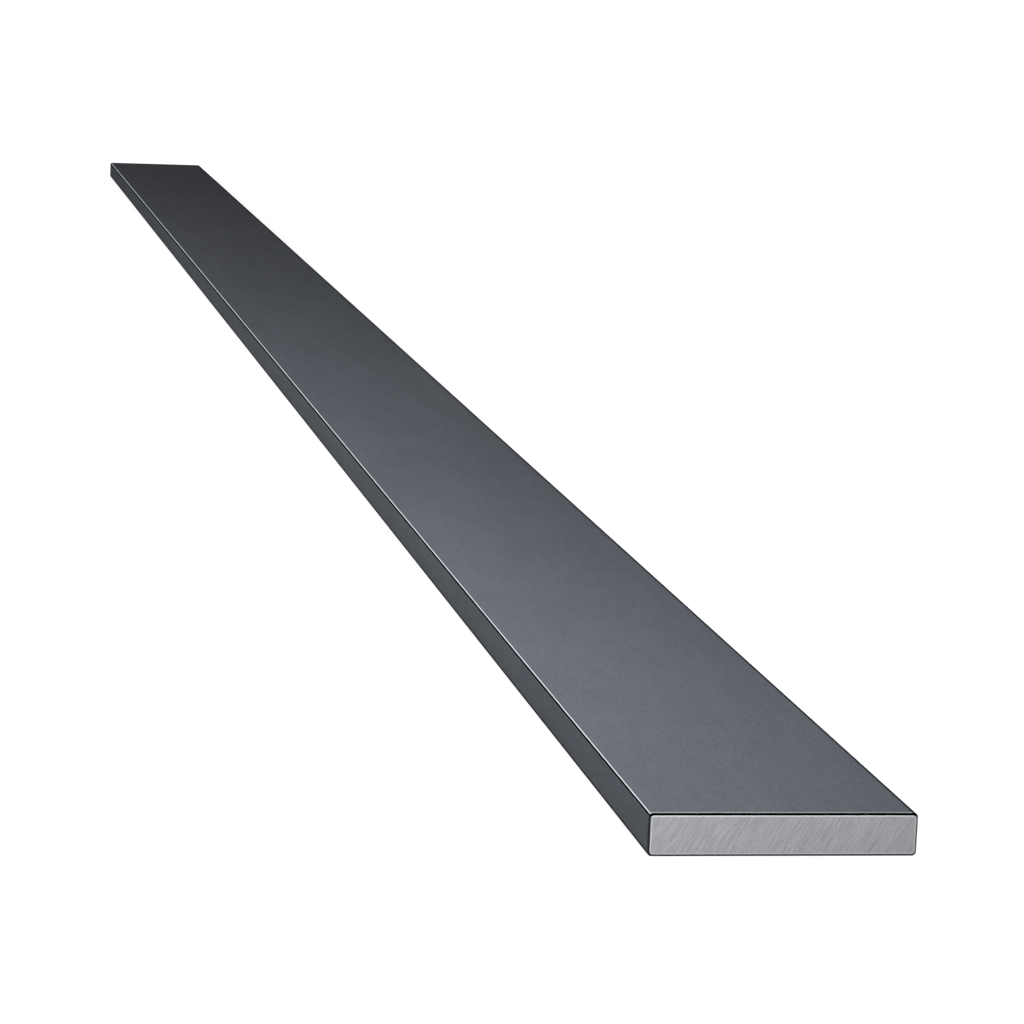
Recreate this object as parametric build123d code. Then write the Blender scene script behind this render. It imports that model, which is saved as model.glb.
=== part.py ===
from build123d import *
import os

# One length of hot-rolled mild steel flat bar, sawn square at both ends.
# Millimetres. X runs along the bar, Y across its width and Z up through its thickness.
# The origin is the middle of the wide face that the bar lies on.

bar_length = 1500.0           # from sawn end to sawn end
bar_width = 50.0              # over the two rolled edges
bar_thickness = 8.0           # over the two wide faces
rolled_corner_radius = 0.8    # the four long corners, as the rolls leave them
sawn_end_break = 0.4          # the light chamfer filed round each sawn end


def rolled_section():
    """The bar's cross-section, drawn in the YZ plane and standing on the floor."""
    outline = RectangleRounded(bar_width, bar_thickness, rolled_corner_radius)
    return Plane.YZ * Pos(0, bar_thickness / 2) * outline


def rolled_stock():
    """The section drawn out along X, half the length to each side of the origin."""
    return extrude(rolled_section(), amount=bar_length / 2, both=True)


def break_sawn_ends(stock):
    """Take the burr off each sawn end, all the way round its outline."""
    first_end = stock.faces().sort_by(Axis.X)[0]
    last_end = stock.faces().sort_by(Axis.X)[-1]
    return chamfer(first_end.edges() + last_end.edges(), sawn_end_break)


flat_bar = break_sawn_ends(rolled_stock())

os.makedirs("parts", exist_ok=True)
export_step(flat_bar, "parts/flat_bar.step")
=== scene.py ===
import math

import bpy
from mathutils import Matrix, Vector


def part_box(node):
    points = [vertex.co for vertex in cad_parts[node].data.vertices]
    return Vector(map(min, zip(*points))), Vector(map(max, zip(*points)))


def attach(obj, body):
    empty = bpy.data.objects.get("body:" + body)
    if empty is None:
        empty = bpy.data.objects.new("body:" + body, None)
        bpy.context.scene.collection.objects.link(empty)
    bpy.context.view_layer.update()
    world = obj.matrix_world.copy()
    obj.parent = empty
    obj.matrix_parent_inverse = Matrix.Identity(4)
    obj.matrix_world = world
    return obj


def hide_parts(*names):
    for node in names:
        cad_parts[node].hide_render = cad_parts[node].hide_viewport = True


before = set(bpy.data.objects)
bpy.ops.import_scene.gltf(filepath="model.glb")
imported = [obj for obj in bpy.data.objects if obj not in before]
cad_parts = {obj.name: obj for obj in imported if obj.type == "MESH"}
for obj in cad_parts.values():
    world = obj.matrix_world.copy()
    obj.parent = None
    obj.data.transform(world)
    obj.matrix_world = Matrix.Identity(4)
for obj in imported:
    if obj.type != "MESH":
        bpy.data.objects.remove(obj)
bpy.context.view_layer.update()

# A length of hot-rolled steel flat bar lying on a studio floor: dark mill scale on the four rolled
# faces, painted shade along the long corners, one long corner rubbed bright and carrying a painted
# highlight, and a filed break, painted dark above and in front and lighter at the back, round a freshly
# sawn face at each end.
# Metres. X runs along the bar, Y across its width and Z up through its thickness.

bar_low, bar_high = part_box("flat_bar")
bar_size = bar_high - bar_low
MM = 0.001

# The section and its ends
ROLLED_CORNER = 0.8 * MM        # radius of the four long corners
END_BREAK = 0.40 * MM           # 45 degree break filed round each sawn end
CORNER_BREAK = 0.50             # the share of the break by which the sawn face's corners are sharper
RIM_WIDTH = 0.25 * MM           # the rounded lip between the break and the sawn face
RIM_DROP = 0.08 * MM            # how far that lip falls back
SAWN_REACH = 1.3                # the sawn face is within so many lip drops of the bar's end
CRISP_FOLD = 25.0               # degrees: what folds more sharply than this isn't shaded smooth

# How the section thins and thickens along the bar
ROLL_WAVE = 0.04 * MM
ROLL_WAVES = 9.0                # to a metre
ROLL_WAVE_SHIFT = 0.3           # in waves, forwards for one face and back for the opposite one

# The strokes that the saw pressed into the sawn faces
SAW_MARK_DEPTH = 0.03 * MM
SAW_MARK_PITCH = 0.9 * MM
SAW_MARK_STROKE = 9.0 * MM      # how long one mark runs
SAW_MARK_LEAN = 59.0            # degrees from the bar's flat
SAW_MARK_SHIFT = 7.0            # taken so far to either side, so that each end has its own marks
MARK_SEED = 4.0                 # of the rolled waves and the saw's strokes

# The mesh: a box of cells from -1 to 1 each way, whose last ring at each end is the filed break
CELLS_ALONG = 120
CELLS_ACROSS = 164
CELLS_UP = 30
CELLS_ROUND_HALF_CORNER = 5     # from the middle of a long corner to the flat beside it
BOX_TIP = 0.9999                # past this is only the box's own end
NEXT_TO_NOTHING = 1e-9          # keeps a length from being 0 where it divides

# The flat sheet that the skin is laid out on for baking, in pixels of a square of SHEET a side: three
# strips, each a third of the bar's length with its seam under the bar, and the two ends above them
SHEET = 1024
SHEET_GAP = 16                  # between two neighbours, and half of it to the sheet's border
STRIP_CELLS = CELLS_ALONG // 3  # rings of cells in one strip
TOP_HALF = 60                   # half of the upper wide face
BOTTOM_HALF = 40                # half of the lower one
END_ROOM = 88                   # height of a sawn end with its break
BREAK_ROOM = 4                  # the break on each side of it


# ---------------------------------------------------------------- node helpers

class Measure:
    """A number worked out by a node tree, so that a rule for the bar reads as a formula."""

    def __init__(self, tree, socket):
        self.tree = tree
        self.socket = socket

    def _math(self, operation, *others):
        """What one Math node makes of this measure and the others."""
        node = self.tree.nodes.new("ShaderNodeMath")
        node.operation = operation
        for place, value in enumerate((self, *others)):
            plug(self.tree, value, node.inputs[place])
        return Measure(self.tree, node.outputs[0])

    def __add__(self, other):
        return self._math("ADD", other)

    def __sub__(self, other):
        return self._math("SUBTRACT", other)

    def __mul__(self, other):
        return self._math("MULTIPLY", other)

    def __truediv__(self, other):
        return self._math("DIVIDE", other)

    def __neg__(self):
        return self._math("MULTIPLY", -1.0)

    def __rsub__(self, other):
        return -self + other

    __radd__ = __add__
    __rmul__ = __mul__

    def size(self):
        return self._math("ABSOLUTE")

    def sign(self):
        return self._math("SIGN")

    def whole(self):
        return self._math("FLOOR")

    def square_root(self):
        return self._math("SQRT")

    def sine(self):
        return self._math("SINE")

    def cosine(self):
        return self._math("COSINE")

    def tangent(self):
        return self._math("TANGENT")

    def angle_to(self, other):
        return self._math("ARCTAN2", other)

    def least(self, other):
        return self._math("MINIMUM", other)

    def most(self, other):
        return self._math("MAXIMUM", other)

    def over(self, other):
        return self._math("GREATER_THAN", other)

    def under(self, other):
        return self._math("LESS_THAN", other)

    def between(self, low, high):
        """0 at low and below, 1 at high and above, and an even slope between them."""
        slope = add_node(self.tree, "ShaderNodeMapRange", {
            "Value": self, "From Min": low, "From Max": high})
        return Measure(self.tree, slope.outputs["Result"])


def plug(tree, value, socket):
    """Links a measure or another node's socket to an input, or writes a plain value into it."""
    if isinstance(value, Measure):
        tree.links.new(value.socket, socket)
    elif isinstance(value, bpy.types.NodeSocket):
        tree.links.new(value, socket)
    else:
        socket.default_value = value


def add_node(tree, kind, inputs=None, **settings):
    """A new node: its settings first, because they decide which inputs it has."""
    node = tree.nodes.new(kind)
    for name, value in settings.items():
        setattr(node, name, value)
    for name, value in (inputs or {}).items():
        plug(tree, value, node.inputs[name])
    return node


def parts_of(tree, vector):
    """The X, Y and Z of a vector socket, as three measures."""
    node = add_node(tree, "ShaderNodeSeparateXYZ", {0: vector})
    return [Measure(tree, node.outputs[axis]) for axis in range(3)]


def vector_of(tree, x, y, z):
    """One vector socket from three measures or plain numbers."""
    return add_node(tree, "ShaderNodeCombineXYZ", {0: x, 1: y, 2: z}).outputs[0]


def length_of(first, second):
    """How long a line is that goes so far one way and so far across."""
    return (first * first + second * second).square_root()


def cloud(tree, vector, detail=2.0, roughness=0.5, seed=0.0):
    """Soft noise from 0 to 1 round a middle of 0.5."""
    node = add_node(tree, "ShaderNodeTexNoise", {
        "Vector": vector, "W": seed, "Scale": 1.0, "Detail": detail, "Roughness": roughness},
        noise_dimensions="4D")
    return Measure(tree, node.outputs[0])


# ---------------------------------------------------------------- the bar's shape

def bar_tree():
    """A box of cells, rolled to the section, broken at both ends and marked by the saw."""
    tree = bpy.data.node_groups.new("rolled and sawn bar", "GeometryNodeTree")
    tree.interface.new_socket("Bar", in_out="OUTPUT", socket_type="NodeSocketGeometry")
    given = bar_inputs(tree)
    box = add_node(tree, "GeometryNodeMeshCube", {
        "Size": (2.0, 2.0, 2.0),
        "Vertices X": given["Cells Along"] + 1,
        "Vertices Y": given["Cells Across"] + 1,
        "Vertices Z": given["Cells Up"] + 1})
    flat = carrying(tree, box.outputs["Mesh"], "OFBake", laid_flat(tree, given),
                    data_type="FLOAT2", domain="CORNER")
    rolled = roll_the_section(tree, given, flat)
    sawn = saw_the_ends(tree, given, rolled)
    real = add_node(tree, "GeometryNodeRealizeInstances", {0: keep_folds_crisp(tree, sawn)})
    finished = set_the_finishes(tree, given, real.outputs[0])
    add_node(tree, "NodeGroupOutput", {0: finished})
    return tree


def bar_inputs(tree):
    """Names all that the bar is made from, and gives each of them as a measure."""
    names_of = {
        "Float": ("Length", "Width", "Thickness", "Rolled Corner", "End Break", "Corner Break",
                  "Rim Width", "Rim Drop", "Roll Wave", "Saw Mark Depth", "Saw Mark Pitch",
                  "Saw Mark Stroke", "Saw Mark Lean", "Seed"),
        "Int": ("Cells Along", "Cells Across", "Cells Up", "Cells Round Half Corner"),
        "Material": ("Mill Scale", "Filed Break", "Sawn Steel")}
    for kind, names in names_of.items():
        for name in names:
            tree.interface.new_socket(name, in_out="INPUT", socket_type="NodeSocket" + kind)
    group = tree.nodes.new("NodeGroupInput")
    return {socket.name: Measure(tree, socket) for socket in group.outputs if socket.name}


def place_of(tree):
    """The X, Y and Z of each point of the mesh."""
    return parts_of(tree, add_node(tree, "GeometryNodeInputPosition").outputs[0])


def carrying(tree, mesh, name, value, **kind):
    """The mesh with a value written on it under a name."""
    node = add_node(tree, "GeometryNodeStoreNamedAttribute", {
        "Geometry": mesh, "Name": name, "Value": value}, **kind)
    return node.outputs["Geometry"]


def roll_the_section(tree, given, box):
    """Puts each point of the box of cells in its place on the rolled bar with its broken ends."""
    along, across, up = place_of(tree)

    # The last cell at each end is the filed break: its outer ring has the full section, and the
    # sawn face's section is smaller by the break.
    inset = given["End Break"] * along.size().over(BOX_TIP)
    radius = given["Rolled Corner"] - inset * given["Corner Break"]
    half_width = given["Width"] * 0.5 - inset
    half_thickness = given["Thickness"] * 0.5 - inset
    corner_cells = given["Cells Round Half Corner"]
    y = walked_out(across, given["Cells Across"], corner_cells, half_width, radius)
    z = walked_out(up, given["Cells Up"], corner_cells, half_thickness, radius)

    # Rounding: what lies beyond the corners' centre lines is swung round them.
    y_core = y.most(radius - half_width).least(half_width - radius)
    z_core = z.most(radius - half_thickness).least(half_thickness - radius)
    y_out = y - y_core
    z_out = z - z_core
    reach = y_out.size().most(z_out.size())
    swing = reach / length_of(y_out, z_out).most(NEXT_TO_NOTHING)
    turn = y_out.size().angle_to(z_out.size()) / (math.pi / 2)

    x = stepped_along(along, given)
    waves = vector_of(tree, x * ROLL_WAVES, across.sign() * ROLL_WAVE_SHIFT,
                      up.sign() * ROLL_WAVE_SHIFT)
    thinned = given["Roll Wave"] * cloud(tree, waves, seed=given["Seed"])
    y_rolled = (y_core + y_out * swing) * (1.0 - thinned / given["Width"])
    z_rolled = (z_core + z_out * swing) * (1.0 - thinned / given["Thickness"])
    turned = carrying(tree, box, "corner_turn", turn, data_type="FLOAT", domain="POINT")
    rolled = add_node(tree, "GeometryNodeSetPosition", {
        "Geometry": turned,
        "Position": vector_of(tree, x, y_rolled, z_rolled + given["Thickness"] * 0.5)})
    return rolled.outputs["Geometry"]


def walked_out(place, cells, corner_cells, half, radius):
    """Where a row of cells comes, from -half to half: evenly spaced on the flat, and at equal
    angles round the corner."""
    half_cells = cells * 0.5
    flat_cells = half_cells - corner_cells
    step = place.size() * half_cells
    flat = (step.least(flat_cells) / flat_cells) * (half - radius)
    corner = radius * ((step - flat_cells).most(0.0) / corner_cells * (math.pi / 4)).tangent()
    return (flat + corner) * place.sign()


def stepped_along(along, given):
    """Where a ring of cells comes along the bar: evenly spaced as far as the breaks, and then one
    cell for the break, which stops short of the end by the lip's drop."""
    half_cells = given["Cells Along"] * 0.5
    step = along.size() * half_cells
    body_half = given["Length"] * 0.5 - given["End Break"]
    body = (step / (half_cells - 1)).least(1.0) * body_half
    broken = (step - half_cells + 1).most(0.0) * (given["End Break"] - given["Rim Drop"])
    return (body + broken) * along.sign()


def saw_the_ends(tree, given, bar):
    """Rounds the lip of each sawn face and presses the saw's slanting strokes into it."""
    x, y, z = place_of(tree)
    z = z - given["Thickness"] * 0.5
    radius = given["Rolled Corner"] - given["End Break"] * given["Corner Break"]
    past_y = y.size() - (given["Width"] * 0.5 - given["End Break"] - radius)
    past_z = z.size() - (given["Thickness"] * 0.5 - given["End Break"] - radius)
    from_edge = (radius - length_of(past_y.most(0.0), past_z.most(0.0))
                 - past_y.most(past_z).least(0.0))
    marked = carrying(tree, bar, "from_edge", from_edge, data_type="FLOAT", domain="POINT")

    face = x.size().over(given["Length"] * 0.5 - given["Rim Drop"] * SAWN_REACH)
    lip = (1.0 - from_edge / given["Rim Width"]).most(0.0)
    lean = given["Saw Mark Lean"]
    run = y * lean.cosine() + z * lean.sine()
    beside = z * lean.cosine() - y * lean.sine()
    strokes = cloud(tree, vector_of(tree, beside / given["Saw Mark Pitch"],
                                    run / given["Saw Mark Stroke"], x.sign() * SAW_MARK_SHIFT),
                    detail=3.0, roughness=0.6, seed=given["Seed"])
    out = given["Rim Drop"] * (1.0 - lip * lip) - given["Saw Mark Depth"] * strokes * (1.0 - lip)
    shifted = add_node(tree, "GeometryNodeSetPosition", {
        "Geometry": marked, "Selection": face, "Offset": vector_of(tree, out * x.sign(), 0.0, 0.0)})
    return shifted.outputs["Geometry"]


def keep_folds_crisp(tree, bar):
    """Shades the bar smooth, except along its sharp folds."""
    smooth = add_node(tree, "GeometryNodeSetShadeSmooth", {0: bar}, domain="FACE")
    folds = Measure(tree, add_node(tree, "GeometryNodeInputMeshEdgeAngle").outputs["Unsigned Angle"])
    sharp = folds.over(math.radians(CRISP_FOLD))
    crisp = add_node(tree, "GeometryNodeSetShadeSmooth", {
        0: smooth.outputs[0], "Selection": sharp, "Shade Smooth": False}, domain="EDGE")
    return crisp.outputs[0]


def set_the_finishes(tree, given, bar):
    """Mill scale all over, then the breaks and the sawn faces by how near the bar's ends they are."""
    from_end = given["Length"] * 0.5 - place_of(tree)[0].size()
    break_and_face = from_end.under(given["End Break"])
    face = from_end.under(given["Rim Drop"] * SAWN_REACH)
    for name, where in (("Mill Scale", True), ("Filed Break", break_and_face), ("Sawn Steel", face)):
        node = add_node(tree, "GeometryNodeSetMaterial", {
            0: bar, "Selection": where, "Material": given[name]})
        bar = node.outputs[0]
    return bar


def shaped_bar(finishes):
    """The bar as one plain mesh with its three finishes."""
    worker = bpy.data.objects.new("bar blank", bpy.data.meshes.new("bar blank"))
    bpy.context.scene.collection.objects.link(worker)
    shaping = worker.modifiers.new("rolled and sawn bar", "NODES")
    shaping.node_group = bar_tree()
    sizes = {
        "Length": bar_size.x, "Width": bar_size.y, "Thickness": bar_size.z,
        "Rolled Corner": ROLLED_CORNER, "End Break": END_BREAK, "Corner Break": CORNER_BREAK,
        "Rim Width": RIM_WIDTH, "Rim Drop": RIM_DROP, "Roll Wave": ROLL_WAVE,
        "Saw Mark Depth": SAW_MARK_DEPTH, "Saw Mark Pitch": SAW_MARK_PITCH,
        "Saw Mark Stroke": SAW_MARK_STROKE, "Saw Mark Lean": math.radians(SAW_MARK_LEAN),
        "Seed": MARK_SEED, "Cells Along": CELLS_ALONG, "Cells Across": CELLS_ACROSS,
        "Cells Up": CELLS_UP, "Cells Round Half Corner": CELLS_ROUND_HALF_CORNER, **finishes}
    sockets = {item.name: item.identifier for item in shaping.node_group.interface.items_tree
               if item.in_out == "INPUT"}
    for name, value in sizes.items():
        shaping[sockets[name]] = value
    depsgraph = bpy.context.evaluated_depsgraph_get()
    mesh = bpy.data.meshes.new_from_object(worker.evaluated_get(depsgraph), depsgraph=depsgraph)
    mesh.name = "rolled_flat_bar"
    bpy.data.objects.remove(worker)
    bar = bpy.data.objects.new("rolled_flat_bar", mesh)
    bpy.context.scene.collection.objects.link(bar)
    return bar


# ---------------------------------------------------------------- the sheet for baking

def laid_flat(tree, given):
    """Each cell's place on the sheet, worked out while the bar is still a box of cells."""
    position = add_node(tree, "GeometryNodeInputPosition").outputs[0]
    middle = add_node(tree, "GeometryNodeFieldOnDomain", {0: position},
                      data_type="FLOAT_VECTOR", domain="FACE").outputs[0]
    corner = parts_of(tree, position)
    cell = parts_of(tree, middle)
    strip_u, strip_v = place_on_strip(given, corner, cell)
    end_u, end_v = place_on_end(corner, cell)
    half_along = given["Cells Along"] * 0.5
    at_end = (cell[0].size() * half_along).over(half_along - 1.0)
    u = strip_u * (1.0 - at_end) + end_u * at_end
    v = strip_v * (1.0 - at_end) + end_v * at_end
    return vector_of(tree, u / SHEET, v / SHEET, 0.0)


def place_on_strip(given, corner, cell):
    """From the middle of a wide face outwards, round the long corner and down the edge."""
    along, across, up = corner
    half_along = given["Cells Along"] * 0.5
    half_across = given["Cells Across"] * 0.5
    half_up = given["Cells Up"] * 0.5
    flat_cells = half_across - given["Cells Round Half Corner"]
    side = cell[1].sign()
    above = cell[2].over(0.0)

    wide_half = BOTTOM_HALF + above * (TOP_HALF - BOTTOM_HALF)
    steps = across.size() * half_across
    outwards = ((steps / flat_cells).least(1.0) * wide_half + (steps - flat_cells).most(0.0)
                + (1.0 - up.size()) * half_up)
    half_round = half_up + given["Cells Round Half Corner"]
    top_middle = BOTTOM_HALF + half_round * 2.0 + TOP_HALF
    strip_height = top_middle * 2.0
    on_top = top_middle + outwards * side
    underneath = outwards * -side + strip_height * side.over(0.0)

    rings = (cell[0] + 1.0) * half_along - 1.0
    strip = (rings / STRIP_CELLS).whole()
    into_strip = (along + 1.0) * half_along - 1.0 - strip * STRIP_CELLS
    u = SHEET_GAP / 2 + into_strip * ((SHEET - SHEET_GAP) / STRIP_CELLS)
    v = (SHEET_GAP / 2 + strip * (strip_height + SHEET_GAP)
         + on_top * above + underneath * (1.0 - above))
    return u, v


def place_on_end(corner, cell):
    """A sawn end as it is looked at from outside, with its break round it."""
    along, across, up = corner
    broken = BREAK_ROOM * along.size().over(BOX_TIP)
    u = (SHEET / 4 + SHEET / 2 * cell[0].over(0.0)
         + across * cell[0].sign() * (SHEET / 4 - SHEET_GAP / 2 - broken))
    v = SHEET - SHEET_GAP - END_ROOM / 2 + up * (END_ROOM / 2 - broken)
    return u, v


# ---------------------------------------------------------------- the bar's finishes

# Mill scale
SCALE_GREY = (0.139, 0.149, 0.171, 1.0)       # clean mill scale
SCALE_PALE = (0.153, 0.163, 0.186, 1.0)       # where the scale is thinner
PAINTED_CORNER_SHADE = (0.028, 0.030, 0.034, 1.0)     # painted shade round a long corner
PAINTED_SEAM_SHADE = (0.006, 0.006, 0.008, 1.0)       # painted shade right beside the rubbed corner
RUBBED_STEEL_AND_HIGHLIGHT = (0.695, 0.72, 0.765, 1.0)      # the corner rubbed bright, its colour also a painted highlight
RUN_OUT_GREY = (0.415, 0.425, 0.455, 1.0)     # scale rubbed thin by the file beside the break
SCALE_ROUGHNESS = 0.50
PATCHES_ROUGHER = 0.14
RUBBED_SMOOTHER = 0.15

# The filed break, its colours painted shade and painted light by side
BREAK_BLACK = (0.002, 0.002, 0.003, 1.0)      # painted shade, above
BREAK_DARK = (0.033, 0.036, 0.041, 1.0)       # painted shade, in front and underneath
BREAK_BLUE = (0.19, 0.20, 0.225, 1.0)         # painted light: a lighter blue grey at the back edge
BREAK_REACH = 1.2                             # in breaks from a face of the bar, what belongs to it
BREAK_PAINTED_LIGHT_DEPTH = (0.8, 1.5)                   # in breaks below the top, where the painted light's blue grey comes in
FILED_SHADE = 0.6                             # the shade that the file's strokes are added to
FILED_STROKES_SHADE = 0.8
FILED_ROUGHNESS = 0.5
FILED_STROKES_ROUGHER = 0.2

# Sawn steel
SAWN_GREY = (0.480, 0.488, 0.512, 1.0)        # bright strokes
SAWN_DARK = (0.326, 0.331, 0.349, 1.0)        # between them
RIM_BRIGHT_AND_HIGHLIGHT = (0.62, 0.62, 0.635, 1.0)         # the lip, brighter for its own finish and as a painted highlight
LIP_FADE = (0.14 * MM, 0.34 * MM)             # from the sawn face's edge, where its bright lip ends
SAWN_ROUGHNESS = 0.42
SAWN_STROKES_ROUGHER = 0.15
SAWN_METAL = 0.15                             # the saw leaves it matt, so it mirrors little
SAWN_SHINE = 0.1

# How large one patch of each pattern of the scale is: along the bar and across it
SCALE_PATCHES = (45.0 * MM, 12.5 * MM)
SCALE_BLOTCHES = (11.0 * MM, 3.2 * MM)
SCALE_GRAIN = (3.0 * MM, 0.48 * MM)
SCALE_DUST = (1.1 * MM, 0.24 * MM)
ROLL_LINES = (250.0 * MM, 1.7 * MM)
RAGGED_BORDER = (3.8 * MM, 1.1 * MM)
FILED_STROKES = (0.55 * MM, 0.55 * MM)

# How much each of them counts
PATCHES_SHARE = 0.6                           # of the two that decide where the scale is thin
BLOTCHES_SHARE = 0.4
THIN_SCALE = (0.34, 0.66)                     # from clean to thin, in what those two add up to
SCALE_SHADE = 0.575                           # the shade that the next three are added to
GRAIN_SHADE = 0.15
DUST_SHADE = 0.64
ROLL_LINES_SHADE = 0.06
DUST_RELIEF = 0.5                             # beside the grain's, which is 1
ROLL_LINES_RELIEF = 0.5
SCALE_RELIEF = 0.02 * MM
SCALE_RELIEF_STRENGTH = 0.25

# How large one mark of the sawn face is: along the saw's stroke and beside it
SAWN_FINE = (4.2 * MM, 0.143 * MM)
SAWN_STROKES = (5.3 * MM, 0.385 * MM)
SAWN_BROAD = (9.0 * MM, 1.43 * MM)
SAWN_SPECKLE = (0.20 * MM, 0.20 * MM)
SAWN_SWAY = (6.25 * MM, 6.25 * MM)

# How much each of them counts
FINE_SHARE = 0.57
STROKES_SHARE = 0.03
BROAD_SHARE = 0.03
SPECKLE_SHARE = 0.37
SAWN_CONTRAST = (0.40, 0.60)                  # from dark to bright, in what those four add up to
SWAY_ASIDE = 0.5 * MM                         # how far the strokes bend aside
SAWN_RELIEF = 0.03 * MM
SAWN_RELIEF_STRENGTH = 0.4

# Bands of painted shade and of the rubbed, highlit strip along a long corner, from its middle: less
# than 0 is on the wide face's side, more on the edge's
# Painted shade round the other three long corners, wider towards the far end
DARK_BAND = (-0.85 * MM, 0.78 * MM)
DARK_GROWTH = (0.45 * MM, 0.30 * MM)          # how much wider it is at the far end, on each side
DARK_BLUR = 0.06 * MM
# Painted shade beside the rubbed strip, wider towards the far end
SHADE_BESIDE_RUB_BAND = (-0.03 * MM, 0.32 * MM)
SHADE_BESIDE_RUB_GROWTH = 0.42 * MM                       # how much wider it is at the far end
RUBBED_AND_HIGHLIT_BAND = (-0.22 * MM, -0.03 * MM)
RUBBED_BLUR = 0.03 * MM                       # of the rubbed, highlit band and of the painted shade beside it
BORDER_WANDER = 0.12 * MM                     # how far the ragged borders of all three wander
ROUND_CORNER = ROLLED_CORNER * math.pi / 2    # along the skin, round one long corner

# Where the file ran out over the wide faces
RUN_OUT_FADE = (0.99 * MM, 1.21 * MM)         # from the bar's end, where the pale scale stops
WIDE_FACE_TURN = 0.3                          # how far into its corner's turn a wide face counts


def new_finish(name):
    """A material with one shader, and the place on the bar that its patterns are drawn on."""
    material = bpy.data.materials.new(name)
    material.use_nodes = True
    tree = material.node_tree
    tree.nodes.clear()
    shader = tree.nodes.new("ShaderNodeBsdfPrincipled")
    output = tree.nodes.new("ShaderNodeOutputMaterial")
    tree.links.new(shader.outputs[0], output.inputs["Surface"])
    place = parts_of(tree, add_node(tree, "ShaderNodeTexCoord").outputs["Object"])
    return material, tree, shader, place


def blend_colours(tree, share, first, second):
    """The first colour where the share is 0, and the second where it is 1."""
    node = add_node(tree, "ShaderNodeMix", data_type="RGBA")
    plug(tree, share, node.inputs[0])
    plug(tree, first, node.inputs[6])
    plug(tree, second, node.inputs[7])
    return node.outputs[2]


def shade_colour(tree, colour, amount):
    """A colour made lighter or darker by a measure that is 1 where nothing changes."""
    node = add_node(tree, "ShaderNodeVectorMath", {0: colour, "Scale": amount}, operation="SCALE")
    return node.outputs[0]


def relief(tree, shader, height, distance, strength):
    """Fine roughness of the surface that is too small for the mesh."""
    bump = add_node(tree, "ShaderNodeBump", {
        "Strength": strength, "Distance": distance, "Height": height})
    tree.links.new(bump.outputs[0], shader.inputs["Normal"])


def pattern(tree, along, across, third, size, **look):
    """Soft noise whose patches have a real size along one way and across it."""
    place = vector_of(tree, along / size[0], across / size[1], third)
    return cloud(tree, place, **look)


def rolled_pattern(tree, place, size, **look):
    """A pattern drawn out along the bar, on all its faces."""
    x, y, z = place
    return pattern(tree, x, y, z / size[1], size, **look)


def painted_on(tree, name):
    """A measure that the bar's mesh carries."""
    return Measure(tree, add_node(tree, "ShaderNodeAttribute", attribute_name=name).outputs["Fac"])


def band(way, low, high, blur):
    """1 from low to high along a measure, and 0 outside it."""
    return way.between(low - blur, low + blur) * (1.0 - way.between(high - blur, high + blur))


def corner_bands(tree, place, turn):
    """Painted shade round three long corners, and on the upper front one a rubbed strip whose
    brightness is also a painted highlight, with painted shade beside it.
    """
    x, y, z = place
    wide_flat = (bar_size.y / 2 - ROLLED_CORNER - y.size()).most(0.0)
    edge_flat = (bar_size.z / 2 - ROLLED_CORNER - (z - bar_size.z / 2).size()).most(0.0)
    wander = (rolled_pattern(tree, place, RAGGED_BORDER, detail=3.0) - 0.5) * BORDER_WANDER
    way = (turn - 0.5) * ROUND_CORNER - wide_flat + edge_flat + wander
    # The upper front corner, rubbed bright and carrying a painted highlight
    rubbed_and_highlit_corner = y.under(0.0) * z.over(bar_size.z / 2)
    far = 0.5 - x / bar_size.x
    # Painted shade along three long corners, wider towards the far end
    dark = band(way, DARK_BAND[0] - far * DARK_GROWTH[0], DARK_BAND[1] + far * DARK_GROWTH[1],
                DARK_BLUR) * (1.0 - rubbed_and_highlit_corner)
    # Painted shade beside the rubbed strip
    shade_beside_rub = band(way, SHADE_BESIDE_RUB_BAND[0], SHADE_BESIDE_RUB_BAND[1] + far * SHADE_BESIDE_RUB_GROWTH, RUBBED_BLUR) * rubbed_and_highlit_corner
    # Rubbed bright steel, whose brightness is also a painted highlight
    rubbed_and_highlit = band(way, *RUBBED_AND_HIGHLIT_BAND, RUBBED_BLUR) * rubbed_and_highlit_corner
    return dark, shade_beside_rub, rubbed_and_highlit


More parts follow.
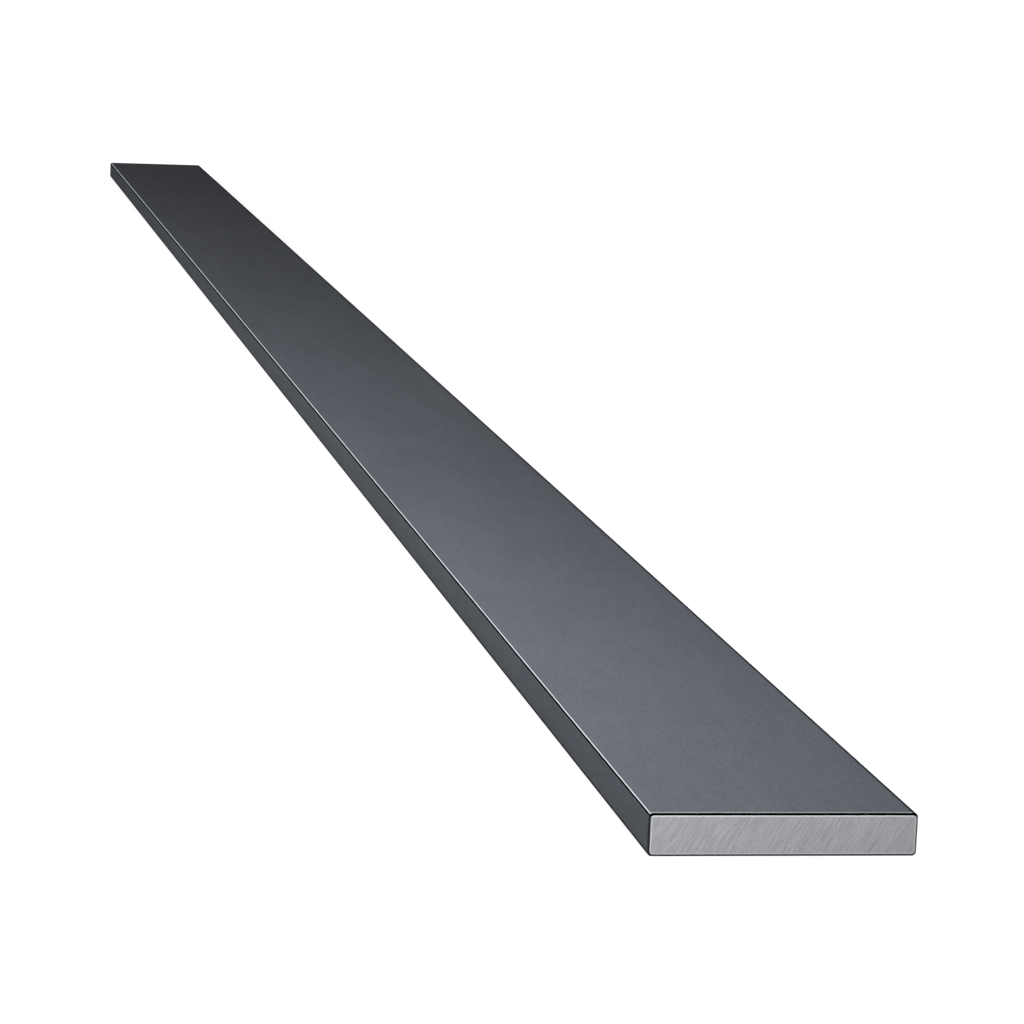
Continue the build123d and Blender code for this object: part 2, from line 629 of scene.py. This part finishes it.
def mill_scale():
    """Blue-grey scale, mottled and grained along the bar, with its run-outs, painted shade along the
    corners and a rubbed corner that also carries a painted highlight.
    """
    material, tree, shader, place = new_finish("mill scale")
    patches = rolled_pattern(tree, place, SCALE_PATCHES)
    blotches = rolled_pattern(tree, place, SCALE_BLOTCHES, detail=1.0)
    grain = rolled_pattern(tree, place, SCALE_GRAIN)
    dust = rolled_pattern(tree, place, SCALE_DUST, detail=1.0)
    roll_lines = rolled_pattern(tree, place, ROLL_LINES)
    thin = (patches * PATCHES_SHARE + blotches * BLOTCHES_SHARE).between(*THIN_SCALE)
    shade = SCALE_SHADE + grain * GRAIN_SHADE + dust * DUST_SHADE + roll_lines * ROLL_LINES_SHADE
    coloured = shade_colour(tree, blend_colours(tree, thin, SCALE_GREY, SCALE_PALE), shade)

    turn = painted_on(tree, "corner_turn")
    from_end = bar_size.x / 2 - place[0].size()
    run_out = (1.0 - from_end.between(*RUN_OUT_FADE)) * turn.under(WIDE_FACE_TURN)
    dark, shade_beside_rub, rubbed_and_highlit = corner_bands(tree, place, turn)
    coloured = blend_colours(tree, run_out, coloured, RUN_OUT_GREY)
    # Painted shade along three long corners
    coloured = blend_colours(tree, dark, coloured, PAINTED_CORNER_SHADE)
    # Painted shade beside the rubbed strip
    coloured = blend_colours(tree, shade_beside_rub, coloured, PAINTED_SEAM_SHADE)
    # Rubbed bright steel, also a painted highlight
    coloured = blend_colours(tree, rubbed_and_highlit, coloured, RUBBED_STEEL_AND_HIGHLIGHT)
    plug(tree, coloured, shader.inputs["Base Color"])

    rough = SCALE_ROUGHNESS + patches * PATCHES_ROUGHER - rubbed_and_highlit * RUBBED_SMOOTHER
    plug(tree, rough, shader.inputs["Roughness"])
    plug(tree, rubbed_and_highlit, shader.inputs["Metallic"])
    plug(tree, 0.0, shader.inputs["Specular IOR Level"])
    height = grain + dust * DUST_RELIEF + roll_lines * ROLL_LINES_RELIEF
    relief(tree, shader, height, SCALE_RELIEF, SCALE_RELIEF_STRENGTH)
    return material


def filed_break():
    """Painted shade, black above and dark in front and underneath, and painted light, blue grey at the
    back edge.
    """
    material, tree, shader, place = new_finish("filed break")
    from_back = (bar_size.y / 2 - place[1]) / END_BREAK
    from_top = (bar_size.z - place[2]) / END_BREAK
    strokes = rolled_pattern(tree, place, FILED_STROKES)
    back = (BREAK_REACH - from_back).between(0.0, 1.0) * from_top.between(*BREAK_PAINTED_LIGHT_DEPTH)
    # Painted shade above, in front and underneath, and painted light at the back edge
    coloured = blend_colours(tree, from_top.under(BREAK_REACH), BREAK_DARK, BREAK_BLACK)
    coloured = blend_colours(tree, back, coloured, BREAK_BLUE)
    coloured = shade_colour(tree, coloured, FILED_SHADE + strokes * FILED_STROKES_SHADE)
    rough = FILED_ROUGHNESS + strokes * FILED_STROKES_ROUGHER
    plug(tree, coloured, shader.inputs["Base Color"])
    plug(tree, rough, shader.inputs["Roughness"])
    plug(tree, 0.0, shader.inputs["Specular IOR Level"])
    return material


def sawn_steel():
    """Bright grey strokes that lean as the saw ran, inside a brighter lip that is partly a painted
    highlight.
    """
    material, tree, shader, (x, y, z) = new_finish("sawn steel")
    lean = math.radians(SAW_MARK_LEAN)
    run = y * math.cos(lean) + z * math.sin(lean)
    sway = (pattern(tree, y, z, x, SAWN_SWAY, detail=1.0) - 0.5) * SWAY_ASIDE
    beside = z * math.cos(lean) - y * math.sin(lean) + sway
    fine = pattern(tree, run, beside, x, SAWN_FINE, detail=1.0)
    strokes = pattern(tree, run, beside, x, SAWN_STROKES, roughness=0.6)
    broad = pattern(tree, run, beside, x, SAWN_BROAD, detail=1.0)
    speckle = pattern(tree, y, z, x, SAWN_SPECKLE, detail=1.0)
    marks = (fine * FINE_SHARE + strokes * STROKES_SHARE + broad * BROAD_SHARE
             + speckle * SPECKLE_SHARE)
    face = blend_colours(tree, marks.between(*SAWN_CONTRAST), SAWN_DARK, SAWN_GREY)
    # The lip's brighter colour is partly its own finish and partly a painted highlight
    lip = 1.0 - painted_on(tree, "from_edge").between(*LIP_FADE)
    plug(tree, blend_colours(tree, lip, face, RIM_BRIGHT_AND_HIGHLIGHT), shader.inputs["Base Color"])
    plug(tree, SAWN_ROUGHNESS + strokes * SAWN_STROKES_ROUGHER, shader.inputs["Roughness"])
    plug(tree, SAWN_METAL, shader.inputs["Metallic"])
    plug(tree, SAWN_SHINE, shader.inputs["Specular IOR Level"])
    relief(tree, shader, marks, SAWN_RELIEF, SAWN_RELIEF_STRENGTH)
    return material


# ---------------------------------------------------------------- studio

WHITE = (1.0, 1.0, 1.0, 1.0)
FLOOR_PAINT = (0.42, 0.42, 0.42, 1.0)         # what the floor throws back up at the bar
FLOOR_REACH = 40.0                            # half of each side
FLOOR_LEVEL = -0.1 * MM                       # just under the bar's lower face
FLOOR_GLOW = 0.90                             # the floor's own light right beside the bar
GLOW_FADE = (5.0 * MM, 50.0 * MM)             # how far from the bar it starts to rise, and is full
ROOM_LIGHT = 0.02                             # the even light that comes from all round


def ray_is(tree, *kinds):
    """1 for a ray of any of the named kinds, and 0 for all others."""
    rays = tree.nodes.new("ShaderNodeLightPath")
    either = Measure(tree, rays.outputs[kinds[0]])
    for kind in kinds[1:]:
        either = either.most(Measure(tree, rays.outputs[kind]))
    return either


def studio_floor():
    """A white floor that shows white wherever the bar leaves it lit, and keeps the bar's shadow."""
    mesh = bpy.data.meshes.new("studio_floor")
    corners = [(x, y, FLOOR_LEVEL) for x, y in (
        (-FLOOR_REACH, -FLOOR_REACH), (FLOOR_REACH, -FLOOR_REACH),
        (FLOOR_REACH, FLOOR_REACH), (-FLOOR_REACH, FLOOR_REACH))]
    mesh.from_pydata(corners, [], [(0, 1, 2, 3)])
    mesh.materials.append(white_floor())
    floor = bpy.data.objects.new("studio_floor", mesh)
    bpy.context.scene.collection.objects.link(floor)


def white_floor():
    """Paint that throws light back at the bar, with a glow of its own that only the camera sees."""
    material = bpy.data.materials.new("white floor")
    material.use_nodes = True
    tree = material.node_tree
    tree.nodes.clear()
    x, y = parts_of(tree, add_node(tree, "ShaderNodeTexCoord").outputs["Object"])[:2]
    away = length_of((x.size() - bar_size.x / 2).most(0.0), (y.size() - bar_size.y / 2).most(0.0))
    own_light = FLOOR_GLOW + (1.0 - FLOOR_GLOW) * away.between(*GLOW_FADE)
    paint = add_node(tree, "ShaderNodeBsdfDiffuse", {"Color": FLOOR_PAINT})
    glow = add_node(tree, "ShaderNodeEmission", {
        "Color": WHITE, "Strength": ray_is(tree, "Is Camera Ray") * own_light})
    both = add_node(tree, "ShaderNodeAddShader", {0: paint.outputs[0], 1: glow.outputs[0]})
    mirrored = ray_is(tree, "Is Glossy Ray", "Is Transmission Ray")
    white = add_node(tree, "ShaderNodeEmission", {"Color": WHITE, "Strength": 1.0})
    shown = add_node(tree, "ShaderNodeMixShader", {
        0: mirrored, 1: both.outputs[0], 2: white.outputs[0]})
    add_node(tree, "ShaderNodeOutputMaterial", {"Surface": shown.outputs[0]})
    return material


def studio_world():
    """White behind the bar and in its reflections, and a low even light on it."""
    world = bpy.data.worlds.new("studio")
    bpy.context.scene.world = world
    world.use_nodes = True
    tree = world.node_tree
    tree.nodes.clear()
    shown = ray_is(tree, "Is Camera Ray", "Is Glossy Ray", "Is Transmission Ray")
    sky = add_node(tree, "ShaderNodeBackground", {
        "Color": WHITE, "Strength": shown * (1.0 - ROOM_LIGHT) + ROOM_LIGHT})
    add_node(tree, "ShaderNodeOutputWorld", {"Surface": sky.outputs[0]})


def studio_lamp(name, place, aim, width, depth, power, spread):
    """A soft lamp at a place, turned towards its aim, with its spread in degrees."""
    light = bpy.data.lights.new(name, "AREA")
    light.shape = "RECTANGLE"
    light.size = width
    light.size_y = depth
    light.energy = power
    light.spread = math.radians(spread)
    lamp = bpy.data.objects.new(name, light)
    bpy.context.scene.collection.objects.link(lamp)
    lamp.location = place
    lamp.rotation_euler = (Vector(aim) - Vector(place)).to_track_quat("-Z", "Y").to_euler()
    lamp.visible_camera = False


def studio_lamps():
    """Large soft lamps above and beside the bar, and a small one before each sawn end."""
    near_end = bar_high.x
    far_end = bar_low.x
    middle = (near_end + far_end) / 2
    half_height = bar_size.z / 2
    studio_lamp("key", (near_end + 0.005, 0.096, 0.450), (near_end + 0.032, -1.221, 0.0),
                width=0.2, depth=0.2, power=3.115, spread=137.5)
    studio_lamp("gridded pool", (near_end + 0.535, 0.133, 0.388), (near_end - 0.888, -0.269, 0.0),
                width=0.232, depth=0.232, power=0.950, spread=28.6)
    for name, x, power in (("front strip, near half", near_end - 0.35, 1.436),
                           ("front strip, far half", near_end - 1.20, 1.134)):
        studio_lamp(name, (x, -0.50, 0.28), (x, 0.0, 0.0),
                    width=0.8, depth=0.3, power=power, spread=166.0)
    studio_lamp("back strip", (middle, 0.900, 0.100), (middle, 0.0, half_height),
                width=1.5, depth=0.15, power=4.0, spread=166.0)
    studio_lamp("far end card", (far_end - 0.30, 0.06, 0.027), (far_end, 0.0, half_height),
                width=0.16, depth=0.04, power=0.22, spread=120.0)
    studio_lamp("near end card", (near_end + 0.30, -0.08, 0.07), (near_end, 0.0, half_height),
                width=0.16, depth=0.10, power=0.192, spread=120.0)


def studio_camera(place, right, forward, lens):
    """A long lens near the sawn end, looking along the bar from a little above it."""
    camera = bpy.data.cameras.new("studio camera")
    camera.lens = lens
    camera.sensor_width = 36.0
    camera.clip_start = 0.01
    camera.clip_end = 100.0
    stand = bpy.data.objects.new("studio camera", camera)
    bpy.context.scene.collection.objects.link(stand)
    right = Vector(right).normalized()
    back = -Vector(forward).normalized()
    up = back.cross(right).normalized()
    right = up.cross(back)
    turned = Matrix((right, up, back)).transposed().to_4x4()
    stand.matrix_world = Matrix.Translation(place) @ turned
    bpy.context.scene.camera = stand


# ---------------------------------------------------------------- putting it together

finishes = {"Mill Scale": mill_scale(), "Filed Break": filed_break(), "Sawn Steel": sawn_steel()}
bar = shaped_bar(finishes)
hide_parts("flat_bar")
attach(bar, "root")

studio_floor()
studio_world()
studio_lamps()
studio_camera(place=(bar_high.x + 0.65198, -0.16703, 0.17106), right=(0.16654, 0.98516, 0.04152),
              forward=(-0.97185, 0.17111, -0.16196), lens=134.29)
bpy.context.scene.view_settings.view_transform = "Standard"
